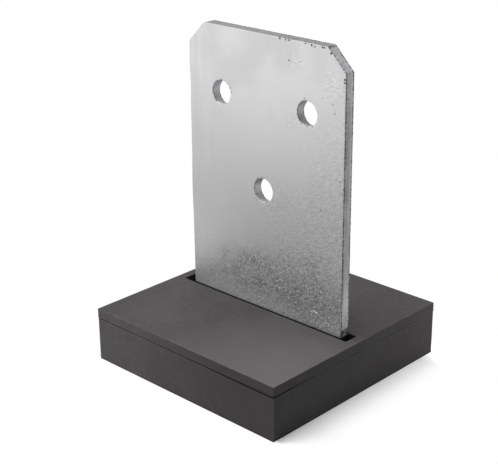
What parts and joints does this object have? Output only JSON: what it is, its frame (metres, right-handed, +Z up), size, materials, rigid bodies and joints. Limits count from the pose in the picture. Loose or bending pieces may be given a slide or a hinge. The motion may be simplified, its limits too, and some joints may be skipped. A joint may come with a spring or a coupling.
{
  "type": "concealed post base with knife plate",
  "caption": "Galvanised knife plate with cut corners and dowel holes, standing in the slot of a square black moulded standoff that hides its anchor flange.",
  "frame": {"origin": "centre of the square underside", "axes": "+Z up, +X along the knife plate's width, -Y out of its front face"},
  "size_m": [0.136, 0.136, 0.19],
  "materials": {
    "galvanised_steel": "hot-dip galvanised, dull grey",
    "moulded_composite": "moulded, fine matt texture"
  },
  "bodies": {
    "root": {"knife_plate": "galvanised_steel", "anchor_flange": "galvanised_steel", "weld_front": "galvanised_steel", "weld_rear": "galvanised_steel", "standoff_body": "moulded_composite", "cover_plate": "moulded_composite"}
  },
  "joints": []
}
